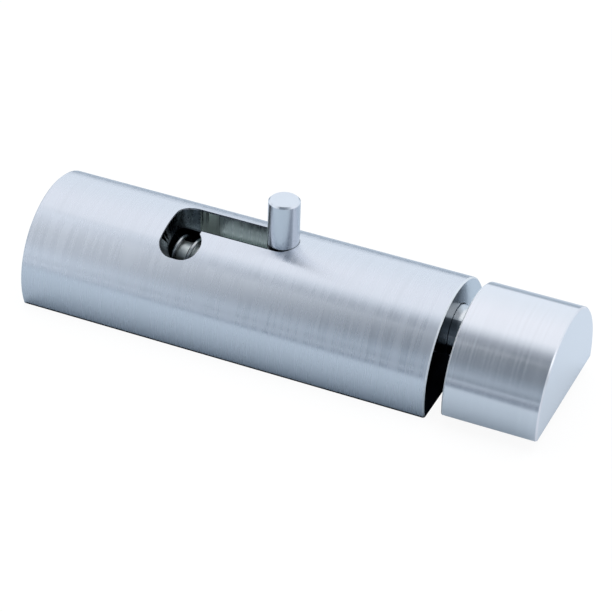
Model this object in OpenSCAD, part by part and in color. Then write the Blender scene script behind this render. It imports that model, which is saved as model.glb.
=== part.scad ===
// Slide bolt cut from solid D-section bar, with a spring behind the bolt and a handle pin in a J-shaped slot.
// X runs along the bolt towards the keeper, Y to the back and Z away from the door.
// The origin is the middle of the body's flat, and the bolt is modelled thrown.

/* [Bar] */
// Diameter of the round bar that the body and the keeper are cut from
bar_d = 25; // [22:0.5:32]
// Height of the body from its flat to the top of the bar
body_h = 16.5; // [15:0.1:22]
// Height of the keeper from its flat to the top of the bar
keeper_h = 14.5; // [14:0.1:20]
// Length of the body
body_len = 69; // [68:0.5:90]
// Gap between the body and the keeper
keeper_gap = 2.7; // [1:0.1:6]
// Wall left at the closed end of the keeper
keeper_wall = 3.4; // [2:0.1:8]
// Chamfer round the ends of the bar
end_chamfer = 0.25; // [0.1:0.05:0.6]

/* [Bolt rod] */
// Diameter of the bolt rod
rod_d = 8; // [7:0.1:9]
// Distance from the top of the bar down to the rod's axis
rod_drop = 7.5; // [6.5:0.1:9]
// Running clearance all round the rod in its bores
run_clear = 0.05; // [0.02:0.01:0.1]
// How far the nose stands out of the body when thrown
nose_out = 14; // [10:0.5:18]
// Chamfer on the nose
nose_chamfer = 0.8; // [0.3:0.1:1.5]
// Room left in the keeper in front of the nose
nose_room = 0.6; // [0.3:0.1:2]
// Chamfer at the mouths of the bores
mouth_chamfer = 0.2; // [0.1:0.05:0.5]
// Distance from the handle pin to the shoulder that the spring pushes on
shoulder_back = 12.5; // [11:0.1:13]
// Length of the thin tail behind the shoulder
tail_len = 5.5; // [4.5:0.1:6.5]
// Diameter of the thin tail
tail_d = 4.2; // [3:0.1:4.4]

/* [Handle] */
// Diameter of the handle pin
pin_d = 5; // [4:0.1:5.5]
// Distance from the keeper end of the body to the thrown pin
pin_inset = 29.2; // [26:0.1:30]
// How far the pin stands above the bar
pin_out = 7.5; // [5:0.5:14]
// Chamfer on the top of the pin
pin_chamfer = 0.3; // [0.1:0.05:0.8]
// Diameter of the pin's threaded end
stem_d = 4; // [3:0.1:4]
// Length of the pin's threaded end
stem_len = 5.4; // [3:0.1:5.8]
// Depth of the flat seat that the pin's shoulder has in the rod
seat_depth = 0.7; // [0.4:0.1:1.2]

/* [Handle slot] */
// Clearance between the pin and each side of the slot
slot_clear = 0.35; // [0.2:0.05:0.6]
// Gap left between the pin and the stops at the ends of the slot
stop_clear = 0.05; // [0.03:0.01:0.15]
// Length that the pin travels along the slot
travel = 15.8; // [13:0.1:17]
// Angle that the slot turns towards the front to hold the bolt open
hold_turn = 43; // [30:1:55]
// How far the hook runs back towards the keeper
hook_len = 1.1; // [0.5:0.1:2]

/* [Return spring] */
// Thickness of the spring wire
wire_d = 0.7; // [0.5:0.05:0.8]
// Diameter of the coil, measured at the middle of the wire
coil_d = 5.8; // [5.6:0.1:6.6]
// Number of open coils
open_coils = 8.3; // [6:0.1:8.5]
// Number of closed coils at each end
closed_coils = 1; // [1:0.25:1]
// Gap between neighbouring closed coils
closed_gap = 0.45; // [0.42:0.01:0.6]
// Gap between the spring and what it pushes on
spring_seat = 0.1; // [0.05:0.01:0.2]
// Room between the tail and the end of the bore when the pin is right back
tail_room = 3.2; // [3:0.1:4]
// Angle at which the coil starts, measured from the back over the top
coil_start = 100; // [0:5:355]

/* [Fixing holes] */
// Diameter of the tapped fixing holes, at the root of the thread
fix_d = 3.3; // [2.5:0.1:3.5]
// Depth of the tapped fixing holes
fix_depth = 6; // [4:0.5:7]
// Distance across the bar between the two holes of a pair
fix_span = 14; // [13:0.5:16]
// Distance from each end of the body to its pair of holes
fix_inset = 8; // [6:0.5:14]

/* [Hidden] */
$fn = 96;
bar_r = bar_d / 2;
bar_z = body_h - bar_r;
rod_r = rod_d / 2;
rod_z = body_h - rod_drop;
bore_r = rod_r + run_clear;
body_left = -body_len / 2;
body_right = body_len / 2;
keeper_left = body_right + keeper_gap;
nose_x = body_right + nose_out;
socket_depth = nose_out - keeper_gap + nose_room;
keeper_len = socket_depth + keeper_wall;

// The pin, the slot and how far the cutter that mills the slot goes
pin_x = body_right - pin_inset;
slot_r = pin_d / 2 + slot_clear;
slot_front = pin_x - slot_clear + stop_clear;
slot_back = pin_x - travel + slot_clear - stop_clear;
cut_reach = bar_d;

// The rod's shoulder and tail, and the bore behind them
shoulder_x = pin_x - shoulder_back;
tail_x = shoulder_x - tail_len;
bore_end = tail_x - travel - tail_room;

// The pin's seat in the rod
pin_top = body_h + pin_out;
seat_z = rod_z + rod_r - seat_depth;
stem_clear = 0.02;
seat_clear = 0.05;
drill_room = 0.4;

// The spring between the end of the bore and the rod's shoulder
spring_left = bore_end + spring_seat + wire_d / 2;
spring_len = shoulder_x - spring_seat - wire_d / 2 - spring_left;
closed_pitch = wire_d + closed_gap;
open_pitch = (spring_len - 2 * closed_coils * closed_pitch) / open_coils;
coils = open_coils + 2 * closed_coils;
rings_per_coil = 8;
wire_sides = 6;

// A length of round bar along X with chamfered ends, and a flat cut at height flat_z
module flat_bar(left, len, flat_z) {
    intersection() {
        translate([left, 0, bar_z])
            rotate([0, 90, 0])
                rotate_extrude()
                    polygon([
                        [0, 0],
                        [bar_r - end_chamfer, 0],
                        [bar_r, end_chamfer],
                        [bar_r, len - end_chamfer],
                        [bar_r - end_chamfer, len],
                        [0, len]
                    ]);
        translate([left - 1, -bar_d, flat_z])
            cube([len + 2, 2 * bar_d, 2 * bar_d]);
    }
}

// A blind bore along X with a chamfered mouth; side is 1 if its mouth faces the keeper and -1 if the body
module rod_bore(mouth, depth, side) {
    translate([mouth, 0, rod_z])
        rotate([0, -90 * side, 0])
            rotate_extrude()
                polygon([
                    [0, -1],
                    [bore_r + mouth_chamfer, -1],
                    [bore_r + mouth_chamfer, 0],
                    [bore_r, mouth_chamfer],
                    [bore_r, depth],
                    [0, depth]
                ]);
}

// The straight-sided cut that a milling cutter leaves between two places along the bar
module milled_run(from_x, to_x) {
    linear_extrude(height = cut_reach)
        union() {
            translate([from_x, 0])
                circle(r = slot_r);
            translate([to_x, 0])
                circle(r = slot_r);
            translate([from_x, -slot_r])
                square([to_x - from_x, 2 * slot_r]);
        }
}

// The J-shaped slot: along the bar, round to the front, and the hook that holds the bolt open
module handle_slot() {
    translate([0, 0, rod_z]) {
        milled_run(slot_back, slot_front);
        rotate([hold_turn, 0, 0])
            milled_run(slot_back, slot_back + hook_len);
        translate([slot_back - slot_r, 0, 0])
            rotate([180, 0, 0])
                rotate([0, 90, 0])
                    rotate_extrude(angle = hold_turn)
                        square([cut_reach, 2 * slot_r]);
    }
}

// Two tapped holes side by side, drilled up from a flat
module fixing_pair(x, flat_z) {
    for (side = [-1, 1])
        translate([x, side * fix_span / 2, flat_z])
            rotate_extrude()
                polygon([
                    [0, -1],
                    [fix_d / 2, -1],
                    [fix_d / 2, fix_depth],
                    [0, fix_depth + fix_d / 4]
                ]);
}

module body() {
    color("silver")
        difference() {
            flat_bar(body_left, body_len, 0);
            rod_bore(body_right, body_right - bore_end, 1);
            handle_slot();
            fixing_pair(body_left + fix_inset, 0);
            fixing_pair(body_right - fix_inset, 0);
        }
}

module keeper() {
    flat_z = body_h - keeper_h;
    color("lightsteelblue")
        difference() {
            flat_bar(keeper_left, keeper_len, flat_z);
            rod_bore(keeper_left, socket_depth, -1);
            fixing_pair(keeper_left + keeper_len / 2, flat_z);
        }
}

// The rod with its chamfered nose, shoulder and tail, drilled and spot-faced for the handle pin
module bolt_rod() {
    tail_r = tail_d / 2;
    tail_chamfer = tail_d / 10;
    length = nose_x - tail_x;
    color("gainsboro")
        difference() {
            translate([tail_x, 0, rod_z])
                rotate([0, 90, 0])
                    rotate_extrude()
                        polygon([
                            [0, 0],
                            [tail_r - tail_chamfer, 0],
                            [tail_r, tail_chamfer],
                            [tail_r, tail_len],
                            [rod_r - mouth_chamfer, tail_len],
                            [rod_r, tail_len + mouth_chamfer],
                            [rod_r, length - nose_chamfer],
                            [rod_r - nose_chamfer, length],
                            [0, length]
                        ]);
            translate([pin_x, 0, seat_z])
                cylinder(r = pin_d / 2 + seat_clear, h = rod_d);
            translate([pin_x, 0, seat_z - stem_len - drill_room])
                cylinder(r = stem_d / 2 + stem_clear, h = rod_d);
        }
}

// The handle pin, whose shoulder sits on the rod and whose stem screws into it
module handle_pin() {
    stem_chamfer = stem_d / 10;
    color("whitesmoke")
        translate([pin_x, 0, seat_z])
            rotate_extrude()
                polygon([
                    [0, -stem_len],
                    [stem_d / 2 - stem_chamfer, -stem_len],
                    [stem_d / 2, -stem_len + stem_chamfer],
                    [stem_d / 2, 0],
                    [pin_d / 2, 0],
                    [pin_d / 2, pin_top - seat_z - pin_chamfer],
                    [pin_d / 2 - pin_chamfer, pin_top - seat_z],
                    [0, pin_top - seat_z]
                ]);
}

// How far along the spring the wire has come after a number of coils
function coil_x(t) =
    t < closed_coils ? t * closed_pitch
    : t < closed_coils + open_coils ? closed_coils * closed_pitch + (t - closed_coils) * open_pitch
    : spring_len - (coils - t) * closed_pitch;

// A point on the wire's surface: t coils from the left end, at angle a round the wire
function wire_point(t, a) =
    let (
        turn = coil_start - 360 * t,
        reach = coil_d / 2 + wire_d / 2 * cos(a)
    )
    [
        spring_left + coil_x(t) + wire_d / 2 * sin(a),
        reach * cos(turn),
        rod_z + reach * sin(turn)
    ];

module return_spring() {
    rings = ceil(coils * rings_per_coil);
    points = [
        for (i = [0 : rings])
            for (k = [0 : wire_sides - 1])
                wire_point(coils * i / rings, 360 * k / wire_sides)
    ];
    first = [for (k = [0 : wire_sides - 1]) k];
    last = [for (k = [0 : wire_sides - 1]) rings * wire_sides + wire_sides - 1 - k];
    skin = [
        for (i = [0 : rings - 1])
            for (k = [0 : wire_sides - 1])
                let (
                    a = i * wire_sides + k,
                    b = i * wire_sides + (k + 1) % wire_sides,
                    c = a + wire_sides,
                    d = b + wire_sides
                )
                each [[a, c, b], [b, c, d]]
    ];
    echo(least_gap_between_coils = min(open_pitch, closed_pitch) - wire_d);
    color("darkgray")
        polyhedron(points = points, faces = concat([first], skin, [last]));
}

body();
keeper();
bolt_rod();
handle_pin();
return_spring();
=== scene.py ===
# %% [markdown]
# # A slide bolt in brushed stainless steel
# This file dresses a small spring-loaded slide bolt, piece by piece, as a lesson in Blender.
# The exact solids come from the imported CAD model, which is the fixed frame: they keep their
# shape and their place. What is made here is what the eye reads as steel: the brushing, the
# turned faces, the milled slot, a round wire for the spring, and the light that all of it
# mirrors. Blender counts in metres. A name that ends in MM holds millimetres, the workshop's
# unit, and is multiplied by MM before Blender sees it.

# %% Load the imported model
import bpy
import math
from mathutils import Matrix, Vector


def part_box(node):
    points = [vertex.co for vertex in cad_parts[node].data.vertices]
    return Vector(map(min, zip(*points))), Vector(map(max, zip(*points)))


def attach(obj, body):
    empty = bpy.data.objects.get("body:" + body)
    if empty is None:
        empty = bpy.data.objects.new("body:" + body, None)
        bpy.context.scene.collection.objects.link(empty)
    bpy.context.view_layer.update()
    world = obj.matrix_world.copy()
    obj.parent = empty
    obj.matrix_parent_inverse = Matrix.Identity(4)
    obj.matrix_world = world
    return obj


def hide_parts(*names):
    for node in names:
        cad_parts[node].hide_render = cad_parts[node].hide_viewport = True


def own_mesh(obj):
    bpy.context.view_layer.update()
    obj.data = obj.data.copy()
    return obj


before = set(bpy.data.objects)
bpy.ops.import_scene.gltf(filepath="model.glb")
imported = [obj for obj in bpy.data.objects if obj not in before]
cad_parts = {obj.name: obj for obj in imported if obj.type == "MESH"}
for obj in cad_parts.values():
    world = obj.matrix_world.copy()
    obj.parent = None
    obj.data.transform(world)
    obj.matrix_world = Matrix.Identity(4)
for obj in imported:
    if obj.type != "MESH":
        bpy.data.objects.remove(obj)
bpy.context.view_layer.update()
scene = bpy.context.scene
MM = 0.001
for name in sorted(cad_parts):
    low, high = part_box(name)
    print(name, "measures", [round((b - a) / MM, 1) for a, b in zip(low, high)], "mm")

# %% [markdown]
# ## The camera
# A product photograph is taken from far off with a long lens, so that a small thing isn't bent
# by perspective. The angles were found by fitting a camera to the outlines in the photograph:
# the bar's straight edges give the turn and the height, and how its far end shrinks gives the
# distance. A camera in Blender looks along its own -Z, so its matrix is built from three
# directions: right, up, and back from the object to the camera. Aiming it with a Track To
# constraint would be quicker to set up, but it can't hold the slight roll of a hand-held shot.
# The lens was fitted in pixels of the photograph, and the sensor's width turns it to
# millimetres, the unit in which Blender takes a lens and a sensor, but nothing else.

# %% The camera's directions
CAMERA_TURN = math.radians(23.11)
CAMERA_HEIGHT = math.radians(34.472)
CAMERA_ROLL = math.radians(1.975)

level = math.cos(CAMERA_HEIGHT)
back = Vector((math.sin(CAMERA_TURN) * level, -math.cos(CAMERA_TURN) * level, math.sin(CAMERA_HEIGHT)))
level_right = Vector((math.cos(CAMERA_TURN), math.sin(CAMERA_TURN), 0))
level_up = back.cross(level_right)
right = level_right * math.cos(CAMERA_ROLL) + level_up * math.sin(CAMERA_ROLL)
up = back.cross(right)
print("the camera looks along", [round(-k, 3) for k in back])

# %% The camera
CAMERA_TARGET_MM = (9.46, 0, 5.55)
CAMERA_DISTANCE_MM = 393.2
FOCAL_PIXELS = 2516.9
PHOTO_PIXELS = 612
SENSOR_MM = 36
CLIP_START_MM = 10
CLIP_END_MM = 20000

camera_data = bpy.data.cameras.new("camera")
camera_data.sensor_width = SENSOR_MM
camera_data.lens = FOCAL_PIXELS / PHOTO_PIXELS * SENSOR_MM
camera_data.clip_start = CLIP_START_MM * MM
camera_data.clip_end = CLIP_END_MM * MM
camera = bpy.data.objects.new("camera", camera_data)
scene.collection.objects.link(camera)
stand = (Vector(CAMERA_TARGET_MM) + back * CAMERA_DISTANCE_MM) * MM
camera.matrix_world = Matrix.Translation(stand) @ Matrix((right, up, back)).transposed().to_4x4()
scene.camera = camera
print("lens in mm:", round(camera_data.lens, 1))

# %% [markdown]
# ## Helpers for materials
# Colours are written the way a colour picker shows them, as sRGB hex. Blender mixes light in
# linear values, so one function turns a hex colour to linear, with the sRGB standard's own
# numbers. Another adds one node to a tree, sets its options, and fills or links its sockets,
# which keeps each material below short enough to read from top to bottom. A socket is given by
# its name, or by its number where a node has several of one name: the two colours of a Mix node
# go into its sockets 6 and 7, and the mixed colour comes out of its output 2. The last helper
# starts an empty material.

# %% Colours
def linear(hex_colour):
    """An sRGB colour such as "C8CDD2" as linear red, green, blue and alpha."""
    channels = [int(hex_colour[i:i + 2], 16) / 255 for i in (0, 2, 4)]
    return [c / 12.92 if c <= 0.04045 else ((c + 0.055) / 1.055) ** 2.4 for c in channels] + [1.0]


print("cool steel in linear:", [round(c, 3) for c in linear("C8CDD2")])


# %% Nodes
def add(tree, kind, sockets=None, stops=(), **options):
    """Adds a node with its options, fills or links its sockets, and gives a ramp its stops."""
    made = tree.nodes.new(kind)
    for option, value in options.items():
        setattr(made, option, value)
    for socket, value in (sockets or {}).items():
        if isinstance(value, bpy.types.Node):
            value = value.outputs[0]
        if isinstance(value, bpy.types.NodeSocket):
            tree.links.new(value, made.inputs[socket])
        else:
            made.inputs[socket].default_value = value
    for i, (share, colour) in enumerate(stops):
        elements = made.color_ramp.elements
        if i == 0:
            elements.remove(elements[1])
        stop = elements[0] if i == 0 else elements.new(share)
        stop.position = share
        stop.color = linear(colour)
    return made


def new_material(name):
    """An empty material and its node tree."""
    material = bpy.data.materials.new(name)
    material.use_nodes = True
    material.node_tree.nodes.clear()
    return material, material.node_tree


print("helpers: linear, add, new_material")

# %% [markdown]
# ## The light of the room
# Bare metal has hardly any colour of its own: it shows what stands round it. So the room is
# made for its reflections. The bar is round about the X axis, so what it mirrors hangs on one
# angle alone, measured across the bar from straight up, with the front positive. In a world's
# tree the Generated coordinate is the way a ray goes, so that angle comes from its Y and Z. A
# white wall behind and a white ceiling make the bar's bright top. The dim half of the room in
# front makes the grey band below it, and the far edge of the table draws two thin lines along
# its foot. A photographed room would mirror more, but a ramp over one angle can be matched line
# by line.

# %% The room's light by angle, in degrees
ROOM_LIGHT = [
    (-93, "ADB7C3"), (-89, "EEF4FA"), (-60, "F2F7FB"), (-25, "FBFCFF"), (1, "F8FAFD"), (9, "DFE4E9"),
    (19, "A6ACB3"), (28, "7E868E"), (38, "6D767E"), (48, "747D86"), (58, "7A838C"), (66, "89949E"),
    (75, "9FAAB4"), (79, "98A3AD"), (82, "8D98A2"), (84, "848F99"), (86.5, "BCC6D0"), (89, "949EA8"),
    (92, "8A949E"),
]
ROOM_STRENGTH = 1.25
BACKDROP = "E4E5E6"

world = bpy.data.worlds.new("studio")
world.use_nodes = True
room = world.node_tree
room.nodes.clear()
ray = add(room, "ShaderNodeTexCoord")
aim = add(room, "ShaderNodeSeparateXYZ", {0: ray.outputs["Generated"]})
ahead = add(room, "ShaderNodeMath", {0: aim.outputs["Y"], 1: -1.0}, operation="MULTIPLY")
angle = add(room, "ShaderNodeMath", {0: ahead, 1: aim.outputs["Z"]}, operation="ARCTAN2")
turn = add(room, "ShaderNodeMapRange", {
    "Value": angle, "From Min": -math.pi, "From Max": math.pi,
})
light = add(room, "ShaderNodeValToRGB", {0: turn}, [((deg + 180) / 360, c) for deg, c in ROOM_LIGHT])
print("the room has", len(ROOM_LIGHT), "steps of light")

# %% [markdown]
# ## The backdrop
# What the camera sees past the floor is a plain white backdrop. Every other ray, which is to
# say all that lights the floor and shows in the steel, looks at the ramp. The Light Path node
# tells the two kinds of ray apart. It is used on the room and the floor alone, never on the
# bolt, whose finish has to be the same from every side.

# %% The backdrop
path = add(room, "ShaderNodeLightPath")
shown = add(room, "ShaderNodeMix", {
    0: path.outputs["Is Camera Ray"], 6: light, 7: linear(BACKDROP),
}, data_type="RGBA")
glow = add(room, "ShaderNodeBackground", {"Color": shown.outputs[2], "Strength": ROOM_STRENGTH})
add(room, "ShaderNodeOutputWorld", {"Surface": glow})
scene.world = world
scene.view_settings.view_transform = "Standard"
print("world nodes:", len(room.nodes))

# %% [markdown]
# ## The floor
# The bolt lies on a wide sheet of pale paper, which is stage and not part of the object. A
# plane from the Add menu would do, but four points in code give a sheet its exact edges, and
# the same helper lays a second sheet later. The paper sits a hair below the bolt's flat,
# because two faces in one plane flicker against each other in a render.

# %% A sheet
FLOOR_HALF_MM = 900
FLOOR_DROP_MM = 0.02


def lay_sheet(name, left_mm, front_mm, right_mm, back_mm, drop_mm):
    """A flat sheet just under the bolt, marked as stage."""
    corners = [(left_mm, front_mm), (right_mm, front_mm), (right_mm, back_mm), (left_mm, back_mm)]
    mesh = bpy.data.meshes.new(name)
    mesh.from_pydata([(x * MM, y * MM, 0) for x, y in corners], [], [(0, 1, 2, 3)])
    sheet = bpy.data.objects.new(name, mesh)
    scene.collection.objects.link(sheet)
    sheet.location.z = -drop_mm * MM
    return sheet


floor = lay_sheet("floor", -FLOOR_HALF_MM, -FLOOR_HALF_MM, FLOOR_HALF_MM, FLOOR_HALF_MM, FLOOR_DROP_MM)
print("floor in mm:", [round(side / MM) for side in floor.dimensions])

# %% [markdown]
# ## What the steel sees in the floor
# To the camera the paper is plain white. The steel sees it greyer, because in the photograph
# the lower front of the bar mirrors a lit table. The ramp below paints that table's light and
# shade into the paper's grey, by depth from the front to the back, in the few steps that the
# photograph asks for.

# %% The floor's painted shade by depth, in millimetres
FLOOR_SEEN = "F6F7F9"
# These greys are the table's light and shade, painted for the steel to see.
FLOOR_SHADE_BY_DEPTH = [
    (-74, "C0C8CE"), (-32, "BAC3C9"), (-20, "B6BFC5"), (-13, "B5BFC6"),
    (10, "B2BBC3"), (30, "AFB8C1"), (50, "B9C1C9"), (85, "97A1AA"),
]
FLOOR_REACH_MM = 200

paper, tree = new_material("white_paper")
spot = add(tree, "ShaderNodeTexCoord")
lies = add(tree, "ShaderNodeSeparateXYZ", {0: spot.outputs["Object"]})
depth = add(tree, "ShaderNodeMapRange", {
    "Value": lies.outputs["Y"], "From Min": -FLOOR_REACH_MM * MM, "From Max": FLOOR_REACH_MM * MM,
})
shade_stops = [((y + FLOOR_REACH_MM) / (2 * FLOOR_REACH_MM), c) for y, c in FLOOR_SHADE_BY_DEPTH]
grey = add(tree, "ShaderNodeValToRGB", {0: depth}, shade_stops)
print("the floor has", len(FLOOR_SHADE_BY_DEPTH), "steps of grey")

# %% [markdown]
# ## The table's edge
# The table ends some 70 mm in front of the bolt, and the room past it is dim. The paper goes on,
# and past the edge it is painted that dim grey for the steel, a painted shade. The edge is
# square to the camera's view, so it runs askew to the bar and comes nearer on the keeper's
# side. That is why it isn't a stop of the ramp: the depth is sheared by the camera's turn
# first. The edge is soft, because a sharp one would draw a line that the photograph lacks.

# %% The table's edge
# A dim grey that paints the shade of the room past the table's edge.
PAST_THE_TABLE = "7B858F"
TABLE_EDGE_MM = (-68, -90)

slant = add(tree, "ShaderNodeVectorMath", {
    0: spot.outputs["Object"], 1: (-math.tan(CAMERA_TURN), 1, 0),
}, operation="DOT_PRODUCT").outputs["Value"]
beyond = add(tree, "ShaderNodeMapRange", {
    "Value": slant, "From Min": TABLE_EDGE_MM[0] * MM, "From Max": TABLE_EDGE_MM[1] * MM,
})
edged = add(tree, "ShaderNodeMix", {
    0: beyond, 6: grey, 7: linear(PAST_THE_TABLE),
}, data_type="RGBA")
print("the table's edge is", TABLE_EDGE_MM[0] - TABLE_EDGE_MM[1], "mm wide")

# %% [markdown]
# ## A card and a sheet
# Two patches lie on the table: a card to the right of the keeper, which lights the keeper's
# flat end, and a lighter sheet in front at the far left, which shows low in the body's left
# end. Both have a soft edge, given as the place where the patch starts and where it is full.

# %% A card and a sheet
RIGHT_CARD = "CCD3DD"
LEFT_SHEET = "C8CDD2"
CARD_EDGE_MM = (51, 54)
SHEET_EDGE_MM = (-50, -80)
SHEET_BACK_MM = -80

on_card = add(tree, "ShaderNodeMapRange", {
    "Value": lies.outputs["X"], "From Min": CARD_EDGE_MM[0] * MM, "From Max": CARD_EDGE_MM[1] * MM,
})
carded = add(tree, "ShaderNodeMix", {
    0: on_card, 6: edged.outputs[2], 7: linear(RIGHT_CARD),
}, data_type="RGBA")
leftward = add(tree, "ShaderNodeMapRange", {
    "Value": lies.outputs["X"], "From Min": SHEET_EDGE_MM[0] * MM, "From Max": SHEET_EDGE_MM[1] * MM,
})
in_front = add(tree, "ShaderNodeMath", {
    0: lies.outputs["Y"], 1: SHEET_BACK_MM * MM,
}, operation="LESS_THAN")
on_sheet = add(tree, "ShaderNodeMath", {0: leftward, 1: in_front}, operation="MULTIPLY")
mirrored = add(tree, "ShaderNodeMix", {
    0: on_sheet, 6: carded.outputs[2], 7: linear(LEFT_SHEET),
}, data_type="RGBA")
print("the card starts", CARD_EDGE_MM[0], "mm to the right of the body's middle")

# %% [markdown]
# ## The floor's own glow
# A product photograph is often shot on a lit table, so that hardly any shadow is left round
# the object. Here the camera sees the paper mostly as a glowing sheet, with a little of the
# plain paper mixed in, which leaves a faint shadow to stand on. The card at the right glows by
# half for the steel, as if it were lit from below.

# %% The paper
GLOW_COLOUR = "FFFFFF"
FLOOR_GLOW = 0.93
CARD_GLOW = 0.5

path = add(tree, "ShaderNodeLightPath")
tint = add(tree, "ShaderNodeMix", {
    0: path.outputs["Is Glossy Ray"], 6: linear(FLOOR_SEEN), 7: mirrored.outputs[2],
}, data_type="RGBA")
plain = add(tree, "ShaderNodeBsdfDiffuse", {"Color": tint.outputs[2]})
lit = add(tree, "ShaderNodeEmission", {"Color": linear(GLOW_COLOUR), "Strength": 1.0})
card_share = add(tree, "ShaderNodeMath", {0: on_card, 1: CARD_GLOW}, operation="MULTIPLY")
floor_share = add(tree, "ShaderNodeMath", {
    0: path.outputs["Is Camera Ray"], 1: FLOOR_GLOW,
}, operation="MULTIPLY")
share = add(tree, "ShaderNodeMath", {
    0: path.outputs["Is Glossy Ray"], 1: card_share, 2: floor_share,
}, operation="MULTIPLY_ADD")
sheet = add(tree, "ShaderNodeMixShader", {0: share, 1: plain, 2: lit})
add(tree, "ShaderNodeOutputMaterial", {"Surface": sheet})
floor.data.materials.append(paper)
print("paper nodes:", len(tree.nodes))

# %% [markdown]
# ## The painted shadow under the bar
# Where the bar meets the table, steel mirrors a narrow dark seam: the table's shadow and the
# bar's own flat. A dark strip under the bar paints that shadow in. It reaches a fifth of a
# millimetre past the bar's front edge, only the steel can see it, and it casts no shadow, so it
# never shows by itself.

# %% The painted shadow strip
STRIP_MM = (-34, -12.05, 50, 11)
STRIP_DROP_MM = 0.01
# The strip's dark colour is painted shadow.
PAINTED_SHADOW_COLOUR = "20242C"

painted_shade, tree = new_material("painted_shadow")
shadow_shader = add(tree, "ShaderNodeBsdfDiffuse", {"Color": linear(PAINTED_SHADOW_COLOUR)})
add(tree, "ShaderNodeOutputMaterial", {"Surface": shadow_shader})

strip = lay_sheet("painted_shadow_strip", *STRIP_MM, STRIP_DROP_MM)
strip.data.materials.append(painted_shade)
strip.visible_camera = False
strip.visible_diffuse = False
strip.visible_shadow = False
print("felt strip in mm:", [round(side / MM, 1) for side in strip.dimensions])

# %% [markdown]
# ## The soft boxes
# Three soft lamps stand round the bolt. Small lamps would be simpler, but steel shows a small
# lamp as a hard bright spot. The large one hangs overhead. It lights the floor, which the steel
# mirrors, but the lamp itself is kept out of the reflections. The other two do show in the
# steel. The left one is the soft glow on the bar's left end, and the right one fills the faces
# that look towards the keeper's side. Their places are given in metres.

# %% The lamps
def soft_box(name, place, aim, size, watts, seen_in_steel):
    """A rectangular lamp at place, turned to shine on aim."""
    data = bpy.data.lights.new(name, "AREA")
    data.shape = "RECTANGLE"
    data.size, data.size_y = size
    data.energy = watts
    lamp = bpy.data.objects.new(name, data)
    scene.collection.objects.link(lamp)
    away = Vector(place) - Vector(aim)
    facing = away.to_track_quat("Z", "Y").to_matrix().to_4x4()
    lamp.matrix_world = Matrix.Translation(Vector(place)) @ facing
    lamp.visible_glossy = seen_in_steel
    lamp.visible_camera = False
    print(name, "hangs", round(away.length, 2), "m from what it lights")


soft_box("overhead_box", place=(0, 0.25, 0.7), aim=(0, 0, 0), size=(0.9, 0.7),
         watts=4.0, seen_in_steel=False)
soft_box("left_box", place=(-0.15, -0.12, 0.1), aim=(-0.02, 0, 0.02), size=(0.17, 0.28),
         watts=0.125, seen_in_steel=True)
soft_box("right_box", place=(0.42, -0.1, 0.12), aim=(0.03, 0, 0.01), size=(0.3, 0.3),
         watts=0.14, seen_in_steel=True)

# %% [markdown]
# ## One finish, many lays
# Every piece here is cool grey stainless steel. What differs is how each face was made,
# because every tool leaves fine scratches in its own direction, which a machinist calls the
# lay. Light spreads across a scratch and not along it, so a reflection is smeared square to
# the lay and stays crisp along it. The anisotropic part of the Principled shader does that:
# its tangent is the direction of the smear, the face's normal crossed with the lay. Scratches
# wide enough to see are a long thin noise, which moves the normal, the roughness and the tone
# together: the two pairs below say how much of the noise's range counts. The noise's own
# roughness is high, which keeps its finest streaks sharp. The Bevel node rounds each sharp edge
# in the shading, as a deburred edge is, so that it catches a thin line of light. Steel is a
# metal, and a metal keeps the default IOR.

# %% A finish with a lay
BROKEN_EDGE_MM = 0.07
UM = 1e-6
GLOSS_NOISE = (0.3, 0.7)
TONE_NOISE = (0.25, 0.75)
NOISE_ROUGHNESS = 0.65
BEVEL_SAMPLES = 6


def finish(tree, colour, lay, where, roughness, anisotropy, scratch_um, uneven=0.02, detail=3.0):
    """Steel with scratches along lay and noise read at where; uneven is how far gloss strays."""
    surface = add(tree, "ShaderNodeNewGeometry")
    smear = add(tree, "ShaderNodeVectorMath", {
        0: surface.outputs["Normal"], 1: lay,
    }, operation="CROSS_PRODUCT")
    tangent = add(tree, "ShaderNodeVectorMath", {0: smear}, operation="NORMALIZE")
    scratches = add(tree, "ShaderNodeTexNoise", {
        "Vector": where, "Scale": 1.0, "Detail": detail, "Roughness": NOISE_ROUGHNESS,
    }).outputs["Fac"]
    rounded = add(tree, "ShaderNodeBevel", {"Radius": BROKEN_EDGE_MM * MM}, samples=BEVEL_SAMPLES)
    relief = add(tree, "ShaderNodeBump", {
        "Height": scratches, "Strength": 1.0, "Distance": scratch_um * UM, "Normal": rounded,
    })
    gloss = add(tree, "ShaderNodeMapRange", {
        "Value": scratches, "From Min": GLOSS_NOISE[0], "From Max": GLOSS_NOISE[1],
        "To Min": roughness - uneven, "To Max": roughness + uneven,
    })
    tone = add(tree, "ShaderNodeMapRange", {
        "Value": scratches, "From Min": TONE_NOISE[0], "From Max": TONE_NOISE[1],
        "To Min": 1 - uneven, "To Max": 1 + uneven,
    })
    tint = add(tree, "ShaderNodeVectorMath", {
        0: linear(colour)[:3], "Scale": tone,
    }, operation="SCALE")
    return add(tree, "ShaderNodeBsdfPrincipled", {
        "Base Color": tint,
        "Metallic": 1.0,
        "Roughness": gloss,
        "Anisotropic": anisotropy,
        "Tangent": tangent,
        "Normal": relief,
    })


print("a broken edge is", BROKEN_EDGE_MM, "mm wide")

# %% [markdown]
# ## Where a point lies about an axis
# The bar, its bore, the rod, the pin and the wire were all made on a lathe or round a rod, so
# each finish asks the same of a point: how far it is from an axis, and which way runs round
# that axis. The CAD pieces keep their place in their mesh, so object coordinates are already
# the model's own frame.

# %% About an axis
ALONG_BAR = (1, 0, 0)
BAR_AXIS_MM = (0, 0, 4.0)
ROD_AXIS_MM = (0, 0, 9.0)


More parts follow.
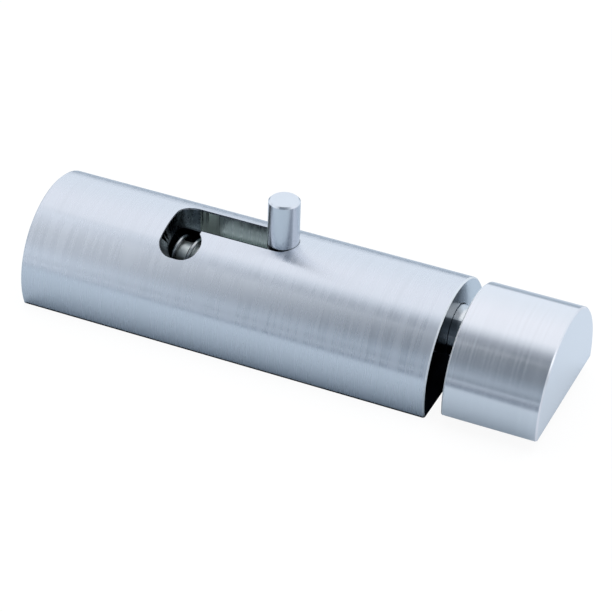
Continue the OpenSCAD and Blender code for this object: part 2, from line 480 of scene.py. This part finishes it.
def about_axis(tree, point_mm, axis):
    """From a point of the axis: the arm, the spoke across it, its length, and the way round."""
    place = add(tree, "ShaderNodeTexCoord").outputs["Object"]
    arm = add(tree, "ShaderNodeVectorMath", {
        0: place, 1: [k * MM for k in point_mm],
    }, operation="SUBTRACT")
    spoke = add(tree, "ShaderNodeVectorMath", {
        0: arm, 1: [1 - k for k in axis],
    }, operation="MULTIPLY")
    reach = add(tree, "ShaderNodeVectorMath", {0: spoke}, operation="LENGTH").outputs["Value"]
    around = add(tree, "ShaderNodeVectorMath", {0: axis, 1: arm}, operation="CROSS_PRODUCT")
    return arm, spoke, reach, around


print("the rod runs", ROD_AXIS_MM[2] - BAR_AXIS_MM[2], "mm above the bar's own axis")

# %% [markdown]
# ## Which face is this?
# The body and the keeper are one solid each, but a machinist made their faces in different
# ways: the round skin, the ends, the slot and the bore. A face is told by its distance from an
# axis and by its normal, and each answer is a switch, 1 on that face and 0 elsewhere. To paint
# the faces one by one as material slots would need a hand on the mesh, and the CAD mesh isn't
# touched. First come the values that all the switches read.

# %% A point of the bar
def bar_point(tree):
    """Where a point of the bar lies, which way its face looks, and how it lies about two axes."""
    place = add(tree, "ShaderNodeTexCoord").outputs["Object"]
    surface = add(tree, "ShaderNodeNewGeometry")
    reach, around = about_axis(tree, BAR_AXIS_MM, ALONG_BAR)[2:]
    rod_reach, rod_around = about_axis(tree, ROD_AXIS_MM, ALONG_BAR)[2:]
    return {
        "place": place,
        "lies": add(tree, "ShaderNodeSeparateXYZ", {0: place}),
        "normal": add(tree, "ShaderNodeSeparateXYZ", {0: surface.outputs["Normal"]}),
        "reach": reach, "around": around, "rod_reach": rod_reach, "rod_around": rod_around,
    }


print("helper: bar_point")

# %% [markdown]
# ## The ends and their rims
# A face whose normal has an X over FACES_X looks along the bar. So do the slot's end wall and
# the bottom of the bore, and an end must therefore also lie further out than BAR_END_MM. An end
# within GAP_REACH_MM of the gap's middle faces the gap, and its painted shade goes over from a
# dark front to a lighter back between the two depths given for that shade's edge. A rim is a
# narrow chamfer at 45 degrees, so the X of its normal is SLANTS_X, give or take SLANT_RANGE.

# %% Switches for the ends
BAR_END_MM = 34.2
GAP_MIDDLE_MM = 35.85
GAP_REACH_MM = 3
SHADE_EDGE_MM = (-0.5, 2.5)
FACES_X = 0.95
SLANTS_X = 0.7
SLANT_RANGE = 0.2


def end_switches(tree, face):
    """Switches for the outer ends, and for the gap's faces, their back halves and their rims."""
    x = face["lies"].outputs["X"]
    tilt = add(tree, "ShaderNodeMath", {0: face["normal"].outputs["X"]}, operation="ABSOLUTE")
    flat = add(tree, "ShaderNodeMath", {0: tilt, 1: FACES_X}, operation="GREATER_THAN")
    apart = add(tree, "ShaderNodeMath", {0: x}, operation="ABSOLUTE")
    outer = add(tree, "ShaderNodeMath", {0: apart, 1: BAR_END_MM * MM}, operation="GREATER_THAN")
    end = add(tree, "ShaderNodeMath", {0: flat, 1: outer}, operation="MULTIPLY")
    facing_gap = add(tree, "ShaderNodeMath", {
        0: x, 1: GAP_MIDDLE_MM * MM, 2: GAP_REACH_MM * MM,
    }, operation="COMPARE")
    gap = add(tree, "ShaderNodeMath", {0: end, 1: facing_gap}, operation="MULTIPLY")
    shade_to_lighter = add(tree, "ShaderNodeMapRange", {
        "Value": face["lies"].outputs["Y"],
        "From Min": SHADE_EDGE_MM[0] * MM, "From Max": SHADE_EDGE_MM[1] * MM,
    })
    gap_lighter_back = add(tree, "ShaderNodeMath", {0: gap, 1: shade_to_lighter}, operation="MULTIPLY")
    slanted = add(tree, "ShaderNodeMath", {
        0: tilt, 1: SLANTS_X, 2: SLANT_RANGE,
    }, operation="COMPARE")
    on_rim = add(tree, "ShaderNodeMath", {0: slanted, 1: outer}, operation="MULTIPLY")
    gap_rim = add(tree, "ShaderNodeMath", {0: on_rim, 1: facing_gap}, operation="MULTIPLY")
    return {"end": end, "gap": gap, "gap_lighter_back": gap_lighter_back, "gap_rim": gap_rim}


print("the gap to the keeper lies round x =", GAP_MIDDLE_MM, "mm")

# %% [markdown]
# ## Inside the skin
# A point more than SKIN_MM under the round skin is inside the bar, unless its face looks
# straight down, because then it is on the flat underneath. That takes in the ends too, which
# does no harm, as their own finishes are laid over it. The slot's turn begins at SLOT_TURN_MM,
# and the cutter had slowed down from SLOWED_END_MM on. The faces that are painted in shade are
# the bore, close round the rod, and those that look to the back, such as the slot's near wall.

# %% Switches for the slot and the bore
BAR_RADIUS_MM = 12.5
SKIN_MM = 0.3
SLOT_TURN_MM = -10.3
SLOWED_END_MM = -6.9
BORE_RADIUS_MM = 4.3
FACES_DOWN = -0.99
FACES_BACK = 0.3


def slot_switches(tree, face):
    """Switches for all that was cut inside the bar, and for three parts of it."""
    x = face["lies"].outputs["X"]
    within = add(tree, "ShaderNodeMath", {
        0: face["reach"], 1: (BAR_RADIUS_MM - SKIN_MM) * MM,
    }, operation="LESS_THAN")
    under = add(tree, "ShaderNodeMath", {
        0: face["normal"].outputs["Z"], 1: FACES_DOWN,
    }, operation="LESS_THAN")
    wall = add(tree, "ShaderNodeMath", {0: within, 1: under}, operation="SUBTRACT", use_clamp=True)
    left = add(tree, "ShaderNodeMath", {0: x, 1: SLOT_TURN_MM * MM}, operation="LESS_THAN")
    turn = add(tree, "ShaderNodeMath", {0: wall, 1: left}, operation="MULTIPLY")
    past = add(tree, "ShaderNodeMath", {0: x, 1: SLOWED_END_MM * MM}, operation="LESS_THAN")
    slowed = add(tree, "ShaderNodeMath", {0: wall, 1: past}, operation="MULTIPLY")
    bored = add(tree, "ShaderNodeMath", {
        0: face["rod_reach"], 1: BORE_RADIUS_MM * MM,
    }, operation="LESS_THAN")
    shaded = add(tree, "ShaderNodeMath", {
        0: face["normal"].outputs["Y"], 1: FACES_BACK,
    }, operation="GREATER_THAN")
    # The bore and the faces that look to the back share one switch, for painted shade.
    dark = add(tree, "ShaderNodeMath", {0: bored, 1: shaded}, operation="MAXIMUM")
    bore = add(tree, "ShaderNodeMath", {0: wall, 1: dark}, operation="MULTIPLY")
    return {"wall": wall, "slowed": slowed, "turn": turn, "bore": bore}


print("the slot's turn begins at x =", SLOT_TURN_MM, "mm")

# %% [markdown]
# ## Brushed stainless steel
# The body and the keeper are lengths of one stainless bar, brushed while it turned: an abrasive
# pad leaves hairlines that run round the bar. Real hairlines are a few hundredths of a
# millimetre wide, finer than a pixel here, so they are drawn 0.3 to 0.8 mm wide, as coarse as
# the photograph shows them in bands. They are long, some 14 mm round the bar. A picture of
# brushed metal would be the quick way, but it would stretch or repeat somewhere on a round bar,
# and a noise in the bar's own coordinates does neither. The strong anisotropy, 0.96, makes the
# wide soft glow across the bar and keeps its edges crisp. The keeper was brushed with a finer
# pad, so it is nearer to a mirror.

# %% The brushed skin
BRUSHED_ANISOTROPY = 0.96
HAIRLINE_LENGTH_MM = 14.0


def brushed_skin(tree, face, colour, roughness, hairline_mm, scratch_um, uneven):
    """Hairlines that run round the bar, each hairline_mm wide."""
    cell_mm = (hairline_mm, HAIRLINE_LENGTH_MM, HAIRLINE_LENGTH_MM)
    hairlines = add(tree, "ShaderNodeVectorMath", {
        0: face["place"], 1: [1 / (k * MM) for k in cell_mm],
    }, operation="MULTIPLY")
    return finish(tree, colour, face["around"], hairlines, roughness, BRUSHED_ANISOTROPY,
                  scratch_um, uneven, detail=1.0)


print("hairlines run", HAIRLINE_LENGTH_MM, "mm round the bar")

# %% [markdown]
# ## Faced ends and sawn faces
# The outer ends were faced in the lathe: a tool that creeps to the middle leaves rings, here
# 0.25 mm apart, too shallow to feel. The two faces that look at each other across the gap are
# darker in the photograph, and most of all their front halves, because they lie in shade. That
# shade is painted into their colour: each of them is two tones, darker in front and lighter
# behind, that blend over 3 mm, and the keeper's pair is the darker one. Their rims were chamfered
# with a file, which leaves a dull face that takes light from all round, and a colour lighter than
# the steel's paints a highlight on it as well, so both sides of the gap are edged with a thin bright
# line.

# %% The ends
RING_PITCH_MM = 0.25
END_COLOUR = "C4D0DC"


def end_faces(tree, face, shaded_front_colour, lighter_back_colour, rim_highlight_colour):
    """The finishes of the outer ends, of the gap's faces, painted as shade that is darker in front and
    lighter behind, and of their rims, which carry a painted highlight.
    """
    steps = add(tree, "ShaderNodeMath", {
        0: face["reach"], 1: 1 / (RING_PITCH_MM * MM),
    }, operation="MULTIPLY")
    rings = add(tree, "ShaderNodeCombineXYZ", {0: steps})
    faced = finish(tree, END_COLOUR, face["around"], rings,
                   roughness=0.17, anisotropy=0.2, scratch_um=0.1, uneven=0.01)
    sawn_shaded_front = finish(tree, shaded_front_colour, face["around"], rings,
                        roughness=0.16, anisotropy=0.2, scratch_um=0.15)
    sawn_lighter_back = finish(tree, lighter_back_colour, face["around"], rings,
                       roughness=0.16, anisotropy=0.2, scratch_um=0.15)
    filed_with_highlight = finish(tree, rim_highlight_colour, face["around"], rings,
                   roughness=0.5, anisotropy=0.0, scratch_um=0.1)
    return [("end", faced), ("gap", sawn_shaded_front), ("gap_lighter_back", sawn_lighter_back), ("gap_rim", filed_with_highlight)]


print("facing rings are", RING_PITCH_MM, "mm apart")

# %% [markdown]
# ## The milled slot and the bore
# The slot was cut with an end mill that stood upright in the bar. Its flutes leave marks that
# stand along the cutter on the straight run's walls, drawn 0.5 mm apart, because the real ones
# are too fine to show. Near the turn, where the cutter slowed, it rubbed as much as it cut:
# that stretch mirrors nothing and its marks are deeper. At the turn itself the cutter swung
# round the bar, and its marks run along the bar, drawn 0.35 mm apart; the turn lies deep in the
# bar, and its darker grey is painted shade. The bore was drilled and reamed, so its marks run
# round the rod. It and the slot's near wall get no light, and they are painted a darker grey
# than the rest, as shade.

# %% Inside the bar
UPRIGHT = (0, 0, 1)
WALL_COLOUR = "D2DCD6"
SLOWED_COLOUR = "B2BDB6"
# The turn's and the bore's greys are darker than the walls': they are painted shade.
TURN_SHADE_COLOUR = "7D888E"
BORE_SHADE_COLOUR = "5C646B"
FLUTE_MARKS_MM = (0.5, 0.5, 12.0)
SWUNG_MARKS_MM = (5.0, 0.35, 0.35)
REAMED_MARKS_MM = (0.4, HAIRLINE_LENGTH_MM, HAIRLINE_LENGTH_MM)


def cut_faces(tree, face):
    """The finishes of the slot's straight walls and turn, and of the bore, first cut first."""
    upright, swung, reamed = [
        add(tree, "ShaderNodeVectorMath", {
            0: face["place"], 1: [1 / (k * MM) for k in cell_mm],
        }, operation="MULTIPLY")
        for cell_mm in (FLUTE_MARKS_MM, SWUNG_MARKS_MM, REAMED_MARKS_MM)
    ]
    straight = finish(tree, WALL_COLOUR, UPRIGHT, upright,
                      roughness=0.32, anisotropy=0.6, scratch_um=3.0, uneven=0.1)
    slowed = finish(tree, SLOWED_COLOUR, UPRIGHT, upright,
                    roughness=0.55, anisotropy=0.0, scratch_um=6.0, uneven=0.45)
    turned = finish(tree, TURN_SHADE_COLOUR, ALONG_BAR, swung,
                    roughness=0.3, anisotropy=0.5, scratch_um=2.0, uneven=0.08)
    bored = finish(tree, BORE_SHADE_COLOUR, face["rod_around"], reamed,
                   roughness=0.35, anisotropy=0.5, scratch_um=1.0)
    return [("wall", straight), ("slowed", slowed), ("turn", turned), ("bore", bored)]


print("the mill's marks are", FLUTE_MARKS_MM[0], "mm apart")

# %% [markdown]
# ## One material for the bar
# Each finish is laid over the one before, where its switch is 1: first the brushed skin, then
# the slot and the bore, then the ends, in the order in which a workshop would make them. The
# keeper has the same faces with values of its own, a finer brushing and a deeper painted shade in its
# gap.

# %% The body and the keeper
BODY_SKIN = {
    "colour": "CCD1DA", "roughness": 0.27, "hairline_mm": 0.8, "scratch_um": 2.8, "uneven": 0.04,
}
KEEPER_SKIN = {
    "colour": "D5D8DF", "roughness": 0.2, "hairline_mm": 0.3, "scratch_um": 0.4, "uneven": 0.022,
}
# The gap colours paint light and shade: each front colour is painted shade, each back colour is
# lighter, and each rim colour is a painted highlight on a filed chamfer.
BODY_GAP = {"shaded_front_colour": "6D757D", "lighter_back_colour": "D4DCE4", "rim_highlight_colour": "DEE3E8"}
KEEPER_GAP = {"shaded_front_colour": "22272C", "lighter_back_colour": "6D757D", "rim_highlight_colour": "F6F9FC"}


def bar_steel(name, skin, gap_colours):
    """Brushed steel with its machined faces; skin is its brushing, gap_colours the painted shade and
    rim highlight of its sawn end.
    """
    material, tree = new_material(name)
    face = bar_point(tree)
    face |= end_switches(tree, face) | slot_switches(tree, face)
    shader = brushed_skin(tree, face, **skin)
    for switch, layer in cut_faces(tree, face) + end_faces(tree, face, **gap_colours):
        shader = add(tree, "ShaderNodeMixShader", {0: face[switch], 1: shader, 2: layer})
    add(tree, "ShaderNodeOutputMaterial", {"Surface": shader})
    print(name, "has", len(tree.nodes), "nodes")
    return material


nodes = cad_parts
body_steel = bar_steel("brushed_stainless_body", BODY_SKIN, BODY_GAP)
keeper_steel = bar_steel("brushed_stainless_keeper", KEEPER_SKIN, KEEPER_GAP)
nodes["body"].data.materials[0] = body_steel
nodes["keeper"].data.materials[0] = keeper_steel

# %% [markdown]
# ## Turned and ground steel
# The rod and the pin were turned in a lathe, whose tool leaves fine rings as it feeds along.
# The rod was then ground, which makes it the most mirror-like piece, and its thin tail inside
# the spring was left as turned, duller, with a paler colour that paints in the light it catches.
# The marks of both are noise that changes fast along the axis and slowly round it. Real ones are
# a tenth of a millimetre apart or less, too fine for a pixel, so they are drawn 0.25 to 0.3 mm apart.

# %% Marks round an axis
CHANGES_PER_MM = 0.3


def turning_marks(tree, point_mm, axis, pitch_mm):
    """The lay and the noise's place for marks that run round an axis, pitch_mm apart."""
    arm, spoke, reach, around = about_axis(tree, point_mm, axis)
    along = add(tree, "ShaderNodeVectorMath", {
        0: arm, 1: axis,
    }, operation="DOT_PRODUCT").outputs["Value"]
    fast = add(tree, "ShaderNodeCombineXYZ", {
        0: add(tree, "ShaderNodeMath", {0: along, 1: 1 / (pitch_mm * MM)}, operation="MULTIPLY"),
        1: add(tree, "ShaderNodeMath", {0: reach, 1: 1 / (pitch_mm * MM)}, operation="MULTIPLY"),
    })
    slow = add(tree, "ShaderNodeVectorMath", {
        0: spoke, "Scale": CHANGES_PER_MM / MM,
    }, operation="SCALE")
    return around, add(tree, "ShaderNodeVectorMath", {0: fast, 1: slow}, operation="ADD")


print("a turning mark changes every", round(1 / CHANGES_PER_MM, 1), "mm on its way round")

# %% [markdown]
# ## The bolt rod
# One piece with four finishes: ground where it slides in the bore; ground but darker between the
# pin and the shoulder; only turned behind the shoulder, where the spring sits on the tail and
# nothing rubs, with a near-white colour that paints in the light falling on the tail; and darker
# on the lower part of the nose, which is painted shade on its underside. The darker middle part
# hardly shows by itself, but the slot's far wall and the pin's left side both mirror it, and
# would be too bright without it. As on the bar, each finish is laid over the one before it, where
# a point's place along the rod says so.

# %% The rod's finishes
GROUND_PITCH_MM = 0.25
GROUND_COLOUR = "D4D8DC"
DIMMED_COLOUR = "A0A6AC"
# The nose's darker colour paints the shade on its underside.
NOSE_SHADE_COLOUR = "868C92"
# The tail's near-white colour paints in the light that falls on it.
TAIL_LIT_COLOUR = "F6FBFA"

ground_steel, tree = new_material("ground_stainless")
lay, marks = turning_marks(tree, ROD_AXIS_MM, ALONG_BAR, GROUND_PITCH_MM)
ground, dimmed, painted_shade_layer = [
    finish(tree, colour, lay, marks, roughness=0.14, anisotropy=0.5, scratch_um=0.4)
    for colour in (GROUND_COLOUR, DIMMED_COLOUR, NOSE_SHADE_COLOUR)
]
tail = finish(tree, TAIL_LIT_COLOUR, lay, marks, roughness=0.45, anisotropy=0.0, scratch_um=0.2)
print("grinding marks are", GROUND_PITCH_MM, "mm apart")

# %% The rod's steel
SHOULDER_MM = -7.2
DIMMED_TO_MM = 8
NOSE_MM = 30
NOSE_SHADE_TOP_MM = 12.3

place = add(tree, "ShaderNodeTexCoord").outputs["Object"]
lies = add(tree, "ShaderNodeSeparateXYZ", {0: place})
x, z = lies.outputs["X"], lies.outputs["Z"]
in_slot = add(tree, "ShaderNodeMath", {0: x, 1: DIMMED_TO_MM * MM}, operation="LESS_THAN")
on_tail = add(tree, "ShaderNodeMath", {0: x, 1: SHOULDER_MM * MM}, operation="LESS_THAN")
at_nose = add(tree, "ShaderNodeMath", {0: x, 1: NOSE_MM * MM}, operation="GREATER_THAN")
# Below this height the nose is painted darker, as the shade on its underside.
low = add(tree, "ShaderNodeMath", {0: z, 1: NOSE_SHADE_TOP_MM * MM}, operation="LESS_THAN")
low_nose = add(tree, "ShaderNodeMath", {0: at_nose, 1: low}, operation="MULTIPLY")
shader = ground
for switch, layer in [(in_slot, dimmed), (on_tail, tail), (low_nose, painted_shade_layer)]:
    shader = add(tree, "ShaderNodeMixShader", {0: switch, 1: shader, 2: layer})
add(tree, "ShaderNodeOutputMaterial", {"Surface": shader})
nodes["bolt_rod"].data.materials[0] = ground_steel
print("the shoulder is at x =", SHOULDER_MM, "mm")

# %% [markdown]
# ## The handle pin
# The pin that a finger pushes is turned and left plain. Just under the rim of the slot, a band
# of it is painted dark, a painted shade that makes the thin black line round its foot. The band
# could be a thin ring of mesh, but it has no thickness on the real pin, so it is a switch on the
# height.

# %% The pin's steel
PIN_AXIS_MM = (5.3, 0, 0)
TURNED_PITCH_MM = 0.3
PIN_COLOUR = "CED4DD"
# A dark colour that paints the shade round the pin's foot.
FOOT_SHADE_COLOUR = "2A3036"
SLOT_RIM_MM = 16.2
FOOT_SHADE_BAND_MM = (15.45, 16.35)

pin_steel, tree = new_material("turned_stainless")
lay, marks = turning_marks(tree, PIN_AXIS_MM, UPRIGHT, TURNED_PITCH_MM)
turned = finish(tree, PIN_COLOUR, lay, marks, roughness=0.25, anisotropy=0.4, scratch_um=0.25)
painted_shade_layer = finish(tree, FOOT_SHADE_COLOUR, lay, marks,
                 roughness=0.3, anisotropy=0.4, scratch_um=0.25)
place = add(tree, "ShaderNodeTexCoord").outputs["Object"]
lies = add(tree, "ShaderNodeSeparateXYZ", {0: place})
middle_mm = sum(FOOT_SHADE_BAND_MM) / 2
# The switch is 1 in the band painted in shade.
rubbed = add(tree, "ShaderNodeMath", {
    0: lies.outputs["Z"], 1: middle_mm * MM, 2: (FOOT_SHADE_BAND_MM[1] - middle_mm) * MM,
}, operation="COMPARE")
shader = add(tree, "ShaderNodeMixShader", {0: rubbed, 1: turned, 2: painted_shade_layer})
add(tree, "ShaderNodeOutputMaterial", {"Surface": shader})
nodes["handle_pin"].data.materials[0] = pin_steel
low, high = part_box("handle_pin")
print("the pin stands", round(high[2] / MM - SLOT_RIM_MM, 1), "mm proud of the slot")

# %% [markdown]
# ## The path of the return spring
# The coil that pushes the bolt out shows through the slot's turn. It is round hard-drawn wire,
# wound evenly, with one turn closed up at each end to sit flat. The CAD model's spring has six
# flat sides, which is enough for its place and its weight, so a finer tube on the same helix
# stands for it here. A curve with a round bevel could make it too, but a mesh from the helix's
# own formula keeps the wire's section exact and closes its two cut ends.

# %% How far along the spring a turn lies
COIL_LEFT_MM = -31.25
COIL_RIGHT_MM = -7.65
CLOSED_PITCH_MM = 1.15
CLOSED_TURNS = 1
OPEN_TURNS = 8.3
ALL_TURNS = OPEN_TURNS + 2 * CLOSED_TURNS
CLOSED_MM = CLOSED_TURNS * CLOSED_PITCH_MM
OPEN_PITCH_MM = (COIL_RIGHT_MM - COIL_LEFT_MM - 2 * CLOSED_MM) / OPEN_TURNS


def along_spring(t):
    """The x in millimetres of the wire's middle after t turns."""
    if t < CLOSED_TURNS:
        return COIL_LEFT_MM + t * CLOSED_PITCH_MM
    if t < CLOSED_TURNS + OPEN_TURNS:
        return COIL_LEFT_MM + CLOSED_MM + (t - CLOSED_TURNS) * OPEN_PITCH_MM
    return COIL_RIGHT_MM - (ALL_TURNS - t) * CLOSED_PITCH_MM


print("open turns are", round(OPEN_PITCH_MM, 2), "mm apart")

# %% [markdown]
# ## The wire
# A ring of points round the wire is carried along the helix, and each ring is joined to the
# next by four-sided faces. Sixteen points round the wire and forty rings in a turn are enough
# for a smooth outline. The two cut ends are flat faces, left unsmoothed so they look cut.

# %% A ring round the wire
WIRE_MM = 0.7
COIL_MM = 5.8
COIL_START = math.radians(100)
SIDES = 16


def wire_ring(t):
    """The points round the wire after t turns."""
    turn = COIL_START - 2 * math.pi * t
    ring = []
    for k in range(SIDES):
        a = 2 * math.pi * k / SIDES
        reach = COIL_MM / 2 + WIRE_MM / 2 * math.cos(a)
        x = along_spring(t) + WIRE_MM / 2 * math.sin(a)
        ring.append(Vector((x, reach * math.cos(turn), ROD_AXIS_MM[2] + reach * math.sin(turn))) * MM)
    return ring


print("each side of the wire is", round(math.pi * WIRE_MM / SIDES, 2), "mm wide")

# %% The wire's mesh
RINGS_PER_TURN = 40

rings = round(ALL_TURNS * RINGS_PER_TURN)
points = [point for i in range(rings + 1) for point in wire_ring(ALL_TURNS * i / rings)]
faces = []
for i in range(rings):
    for k in range(SIDES):
        a, b = i * SIDES + k, i * SIDES + (k + 1) % SIDES
        faces.append((a, a + SIDES, b + SIDES, b))
faces.append(tuple(range(SIDES)))
faces.append(tuple(rings * SIDES + SIDES - 1 - k for k in range(SIDES)))
wire = bpy.data.meshes.new("spring_wire")
wire.from_pydata(points, [], faces)
wire.polygons.foreach_set("use_smooth", [len(face) == 4 for face in faces])
print("the wire has", len(points), "points and", len(faces), "faces")

# %% [markdown]
# ## The spring in its place
# Hard-drawn wire comes off the die smooth and a little dull, with fine lines along it. The
# spring is held by the body at its left end and is squeezed by the rod's shoulder, so here it
# rides on the housing. In the bolt it is squashed towards that end as the bolt is drawn back:
# from 24.3 mm long to 8.5 mm, which leaves its turns just apart.

# %% The return spring
WIRE_COLOUR = "B0B3B6"

drawn_wire, tree = new_material("drawn_spring_wire")
lay, marks = turning_marks(tree, ROD_AXIS_MM, ALONG_BAR, TURNED_PITCH_MM)
shader = finish(tree, WIRE_COLOUR, lay, marks, roughness=0.18, anisotropy=0.0, scratch_um=0.3)
add(tree, "ShaderNodeOutputMaterial", {"Surface": shader})

spring = bpy.data.objects.new("spring_wire", wire)
scene.collection.objects.link(spring)
spring.data.materials.append(drawn_wire)
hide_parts("return_spring")
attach(spring, "housing")
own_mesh(spring)
